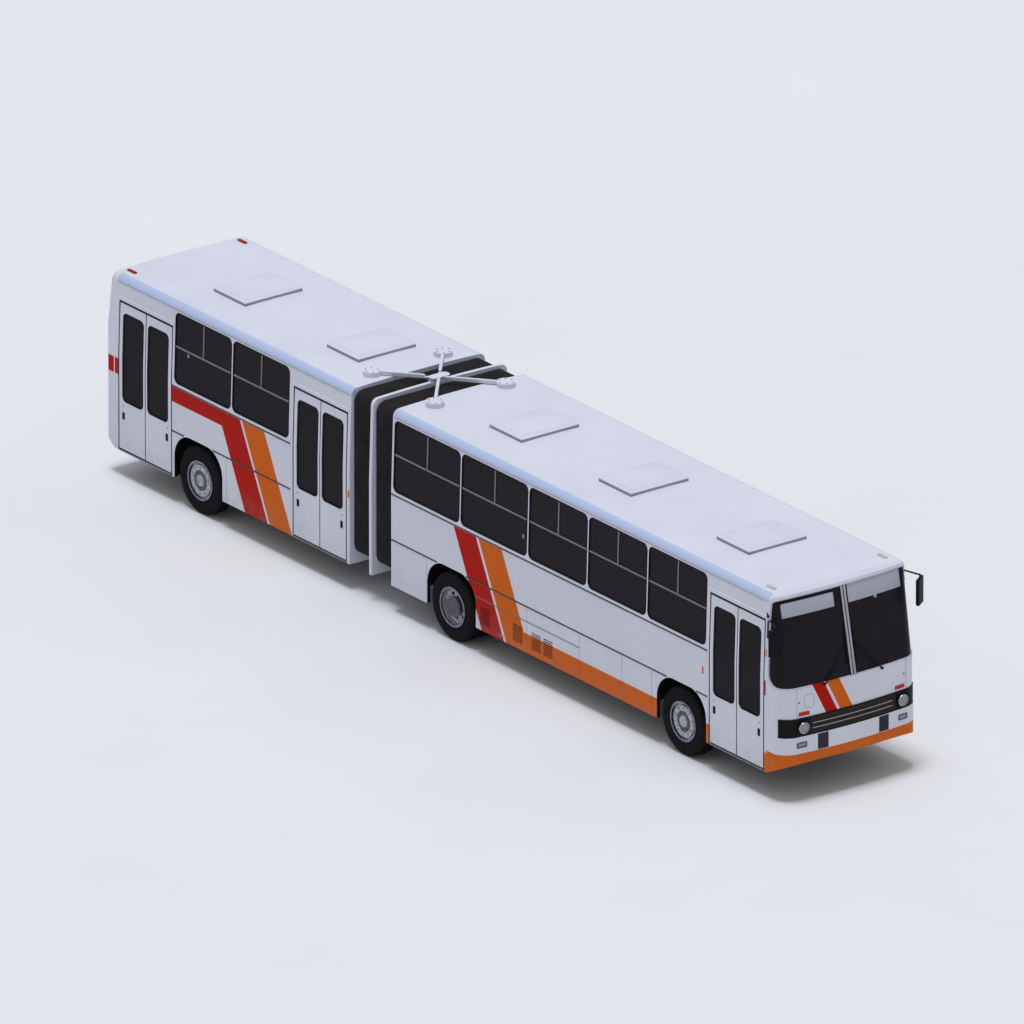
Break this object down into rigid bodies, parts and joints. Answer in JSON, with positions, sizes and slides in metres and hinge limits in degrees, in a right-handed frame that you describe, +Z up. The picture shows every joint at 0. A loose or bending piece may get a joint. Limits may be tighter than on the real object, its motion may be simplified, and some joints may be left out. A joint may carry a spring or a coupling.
{
  "type": "articulated bus",
  "caption": "Articulated city bus: two body sections joined by a turntable and folding bellows, inward-gliding doors on the right, steered front and trailer axles, twin-tyred drive axle.",
  "frame": {"origin": "on the ground, at the middle of the overall length and width", "axes": "+X towards the driver's end, +Y to the bus's left, +Z up"},
  "size_m": [16.4998, 2.7954, 3.232],
  "materials": {
    "body_paint": "white enamel with red and orange stripes, satin from years of washing",
    "black_plastic": "moulded black plastic and black-painted metal",
    "window_glass": "tinted toughened safety glass",
    "floor_covering": "ribbed grey rubber floor covering over sheet steel",
    "chassis_paint": "black chassis paint with road dust",
    "seat_plastic": "dark red vinyl on moulded shells",
    "bellows_fabric": "charcoal rubber-coated fabric",
    "tyre_rubber": "black road tyre",
    "wheel_steel": "grey-painted pressed steel"
  },
  "bodies": {
    "front_section": {"front_side_right": "body_paint", "front_side_left": "body_paint", "front_roof": "body_paint", "front_floor": "floor_covering", "front_nose": "body_paint", "front_bumper": "body_paint", "front_grille": "black_plastic", "front_glass": "window_glass", "front_chassis": "chassis_paint", "front_axle": "chassis_paint", "drive_axle": "chassis_paint", "engine": "chassis_paint", "mirrors": "black_plastic", "wipers": "black_plastic", "front_seats": "seat_plastic", "dashboard": "black_plastic", "front_linkage": "body_paint", "front_hatches": "body_paint", "front_bellows": "bellows_fabric"},
    "hoop": {"middle_hoop": "body_paint"},
    "trailer": {"trailer_side_right": "body_paint", "trailer_side_left": "body_paint", "trailer_roof": "body_paint", "trailer_floor": "floor_covering", "trailer_tail": "body_paint", "trailer_glass": "window_glass", "trailer_chassis": "chassis_paint", "rear_axle": "chassis_paint", "trailer_seats": "seat_plastic", "trailer_linkage": "body_paint", "trailer_hatches": "body_paint", "rear_bellows": "bellows_fabric"},
    "front_knuckle_right": {"front_knuckle_right": "chassis_paint"},
    "front_wheel_right": {"front_tyre_right": "tyre_rubber", "front_rim_right": "wheel_steel"},
    "front_knuckle_left": {"front_knuckle_left": "chassis_paint"},
    "front_wheel_left": {"front_tyre_left": "tyre_rubber", "front_rim_left": "wheel_steel"},
    "rear_knuckle_right": {"rear_knuckle_right": "chassis_paint"},
    "rear_wheel_right": {"rear_tyre_right": "tyre_rubber", "rear_rim_right": "wheel_steel"},
    "rear_knuckle_left": {"rear_knuckle_left": "chassis_paint"},
    "rear_wheel_left": {"rear_tyre_left": "tyre_rubber", "rear_rim_left": "wheel_steel"},
    "drive_wheels_right": {"drive_tyres_right": "tyre_rubber", "drive_rims_right": "wheel_steel"},
    "drive_wheels_left": {"drive_tyres_left": "tyre_rubber", "drive_rims_left": "wheel_steel"},
    "front_door_arm_a": {"front_door_arm_a": "black_plastic"},
    "front_door_leaf_a": {"front_door_leaf_a": "body_paint"},
    "front_door_arm_b": {"front_door_arm_b": "black_plastic"},
    "front_door_leaf_b": {"front_door_leaf_b": "body_paint"},
    "middle_door_arm_a": {"middle_door_arm_a": "black_plastic"},
    "middle_door_leaf_a": {"middle_door_leaf_a": "body_paint"},
    "middle_door_arm_b": {"middle_door_arm_b": "black_plastic"},
    "middle_door_leaf_b": {"middle_door_leaf_b": "body_paint"},
    "rear_door_arm_a": {"rear_door_arm_a": "black_plastic"},
    "rear_door_leaf_a": {"rear_door_leaf_a": "body_paint"},
    "rear_door_arm_b": {"rear_door_arm_b": "black_plastic"},
    "rear_door_leaf_b": {"rear_door_leaf_b": "body_paint"}
  },
  "joints": [
    {"name": "articulation", "type": "hinge", "parent": "front_section", "child": "trailer", "pos_m": [-1.745, 0, 0.72], "axis": [0, 0, 1], "range_deg": [-40, 40], "deforming": ["rear_bellows"]},
    {"name": "hoop_turn", "type": "hinge", "parent": "front_section", "child": "hoop", "pos_m": [-1.745, 0, 0.92], "axis": [0, 0, 1], "range_deg": [-20, 20], "deforming": ["front_bellows"]},
    {"name": "front_steer_right", "type": "hinge", "parent": "front_section", "child": "front_knuckle_right", "pos_m": [5.77, -0.9, 0.525], "axis": [0, 0, 1], "range_deg": [-40, 40]},
    {"name": "front_roll_right", "type": "hinge", "parent": "front_knuckle_right", "child": "front_wheel_right", "pos_m": [5.77, -1.085, 0.525], "axis": [0, 1, 0], "continuous": true},
    {"name": "front_steer_left", "type": "hinge", "parent": "front_section", "child": "front_knuckle_left", "pos_m": [5.77, 0.9, 0.525], "axis": [0, 0, 1], "range_deg": [-40, 40]},
    {"name": "front_roll_left", "type": "hinge", "parent": "front_knuckle_left", "child": "front_wheel_left", "pos_m": [5.77, 1.085, 0.525], "axis": [0, 1, 0], "continuous": true},
    {"name": "rear_steer_right", "type": "hinge", "parent": "trailer", "child": "rear_knuckle_right", "pos_m": [-5.957, -0.9, 0.525], "axis": [0, 0, 1], "range_deg": [-12, 12]},
    {"name": "rear_roll_right", "type": "hinge", "parent": "rear_knuckle_right", "child": "rear_wheel_right", "pos_m": [-5.957, -1.085, 0.525], "axis": [0, 1, 0], "continuous": true},
    {"name": "rear_steer_left", "type": "hinge", "parent": "trailer", "child": "rear_knuckle_left", "pos_m": [-5.957, 0.9, 0.525], "axis": [0, 0, 1], "range_deg": [-12, 12]},
    {"name": "rear_roll_left", "type": "hinge", "parent": "rear_knuckle_left", "child": "rear_wheel_left", "pos_m": [-5.957, 1.085, 0.525], "axis": [0, 1, 0], "continuous": true},
    {"name": "drive_roll_right", "type": "hinge", "parent": "front_section", "child": "drive_wheels_right", "pos_m": [0.226, -0.93, 0.525], "axis": [0, 1, 0], "continuous": true},
    {"name": "drive_roll_left", "type": "hinge", "parent": "front_section", "child": "drive_wheels_left", "pos_m": [0.226, 0.93, 0.525], "axis": [0, 1, 0], "continuous": true},
    {"name": "front_door_open", "type": "hinge", "parent": "front_section", "child": "front_door_arm_a", "pos_m": [6.552, -1.16, 1.5], "axis": [0, 0, 1], "range_deg": [0, 85]},
    {"name": "front_door_leaf_a", "type": "hinge", "parent": "front_door_arm_a", "child": "front_door_leaf_a", "pos_m": [6.8145, -1.16, 1.5], "axis": [0, 0, 1], "range_deg": [-170, 0]},
    {"name": "front_door_post_b", "type": "hinge", "parent": "front_section", "child": "front_door_arm_b", "pos_m": [7.622, -1.16, 1.5], "axis": [0, 0, 1], "range_deg": [-85, 0]},
    {"name": "front_door_leaf_b", "type": "hinge", "parent": "front_door_arm_b", "child": "front_door_leaf_b", "pos_m": [7.3595, -1.16, 1.5], "axis": [0, 0, 1], "range_deg": [0, 170]},
    {"name": "middle_door_open", "type": "hinge", "parent": "trailer", "child": "middle_door_arm_a", "pos_m": [-3.516, -1.16, 1.5], "axis": [0, 0, 1], "range_deg": [0, 85]},
    {"name": "middle_door_leaf_a", "type": "hinge", "parent": "middle_door_arm_a", "child": "middle_door_leaf_a", "pos_m": [-3.2535, -1.16, 1.5], "axis": [0, 0, 1], "range_deg": [-170, 0]},
    {"name": "middle_door_post_b", "type": "hinge", "parent": "trailer", "child": "middle_door_arm_b", "pos_m": [-2.446, -1.16, 1.5], "axis": [0, 0, 1], "range_deg": [-85, 0]},
    {"name": "middle_door_leaf_b", "type": "hinge", "parent": "middle_door_arm_b", "child": "middle_door_leaf_b", "pos_m": [-2.7085, -1.16, 1.5], "axis": [0, 0, 1], "range_deg": [0, 170]},
    {"name": "rear_door_open", "type": "hinge", "parent": "trailer", "child": "rear_door_arm_a", "pos_m": [-7.8, -1.16, 1.5], "axis": [0, 0, 1], "range_deg": [0, 85]},
    {"name": "rear_door_leaf_a", "type": "hinge", "parent": "rear_door_arm_a", "child": "rear_door_leaf_a", "pos_m": [-7.5375, -1.16, 1.5], "axis": [0, 0, 1], "range_deg": [-170, 0]},
    {"name": "rear_door_post_b", "type": "hinge", "parent": "trailer", "child": "rear_door_arm_b", "pos_m": [-6.73, -1.16, 1.5], "axis": [0, 0, 1], "range_deg": [-85, 0]},
    {"name": "rear_door_leaf_b", "type": "hinge", "parent": "rear_door_arm_b", "child": "rear_door_leaf_b", "pos_m": [-6.9925, -1.16, 1.5], "axis": [0, 0, 1], "range_deg": [0, 170]}
  ],
  "couplings": [
    {"joint": "hoop_turn", "follows": "articulation", "ratio": 0.5},
    {"joint": "front_steer_left", "follows": "front_steer_right", "ratio": 1},
    {"joint": "rear_steer_right", "follows": "articulation", "ratio": 0.3},
    {"joint": "rear_steer_left", "follows": "articulation", "ratio": 0.3},
    {"joint": "front_door_leaf_a", "follows": "front_door_open", "ratio": -2},
    {"joint": "front_door_post_b", "follows": "front_door_open", "ratio": -1},
    {"joint": "front_door_leaf_b", "follows": "front_door_open", "ratio": 2},
    {"joint": "middle_door_leaf_a", "follows": "middle_door_open", "ratio": -2},
    {"joint": "middle_door_post_b", "follows": "middle_door_open", "ratio": -1},
    {"joint": "middle_door_leaf_b", "follows": "middle_door_open", "ratio": 2},
    {"joint": "rear_door_leaf_a", "follows": "rear_door_open", "ratio": -2},
    {"joint": "rear_door_post_b", "follows": "rear_door_open", "ratio": -1},
    {"joint": "rear_door_leaf_b", "follows": "rear_door_open", "ratio": 2}
  ]
}
